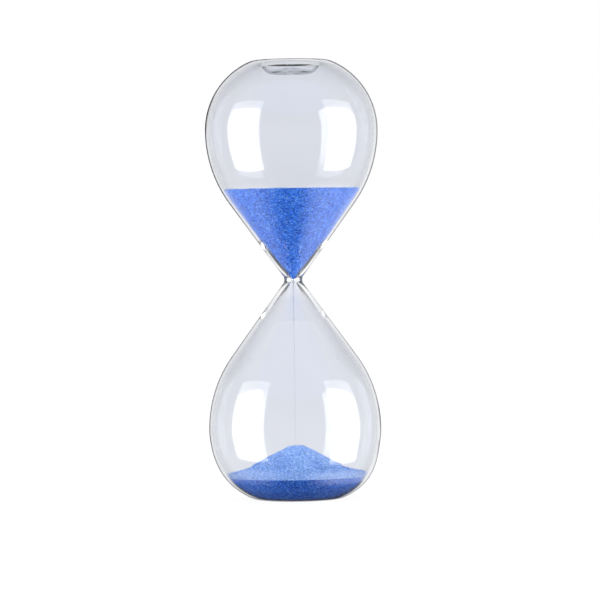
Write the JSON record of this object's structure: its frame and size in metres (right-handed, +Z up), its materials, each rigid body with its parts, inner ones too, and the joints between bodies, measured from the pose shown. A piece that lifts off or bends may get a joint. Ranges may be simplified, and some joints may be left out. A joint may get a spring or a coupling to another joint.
{
  "type": "hourglass",
  "caption": "Frameless blown-glass sand timer: mirrored teardrop bulbs on a fused neck, with fine blue sand caught part way through its run.",
  "frame": {"origin": "centre of the lower foot ring, in the plane it stands on", "axes": "+Z up through the throat, along the axis that every piece is turned about"},
  "size_m": [0.0724, 0.0724, 0.184],
  "materials": {
    "clear_glass": "polished",
    "blue_sand": "matte"
  },
  "bodies": {
    "root": {"upper_bulb": "clear_glass", "lower_bulb": "clear_glass", "neck": "clear_glass", "upper_seal": "clear_glass", "lower_seal": "clear_glass", "upper_sand": "blue_sand", "lower_sand": "blue_sand", "sand_stream": "blue_sand"}
  },
  "joints": []
}
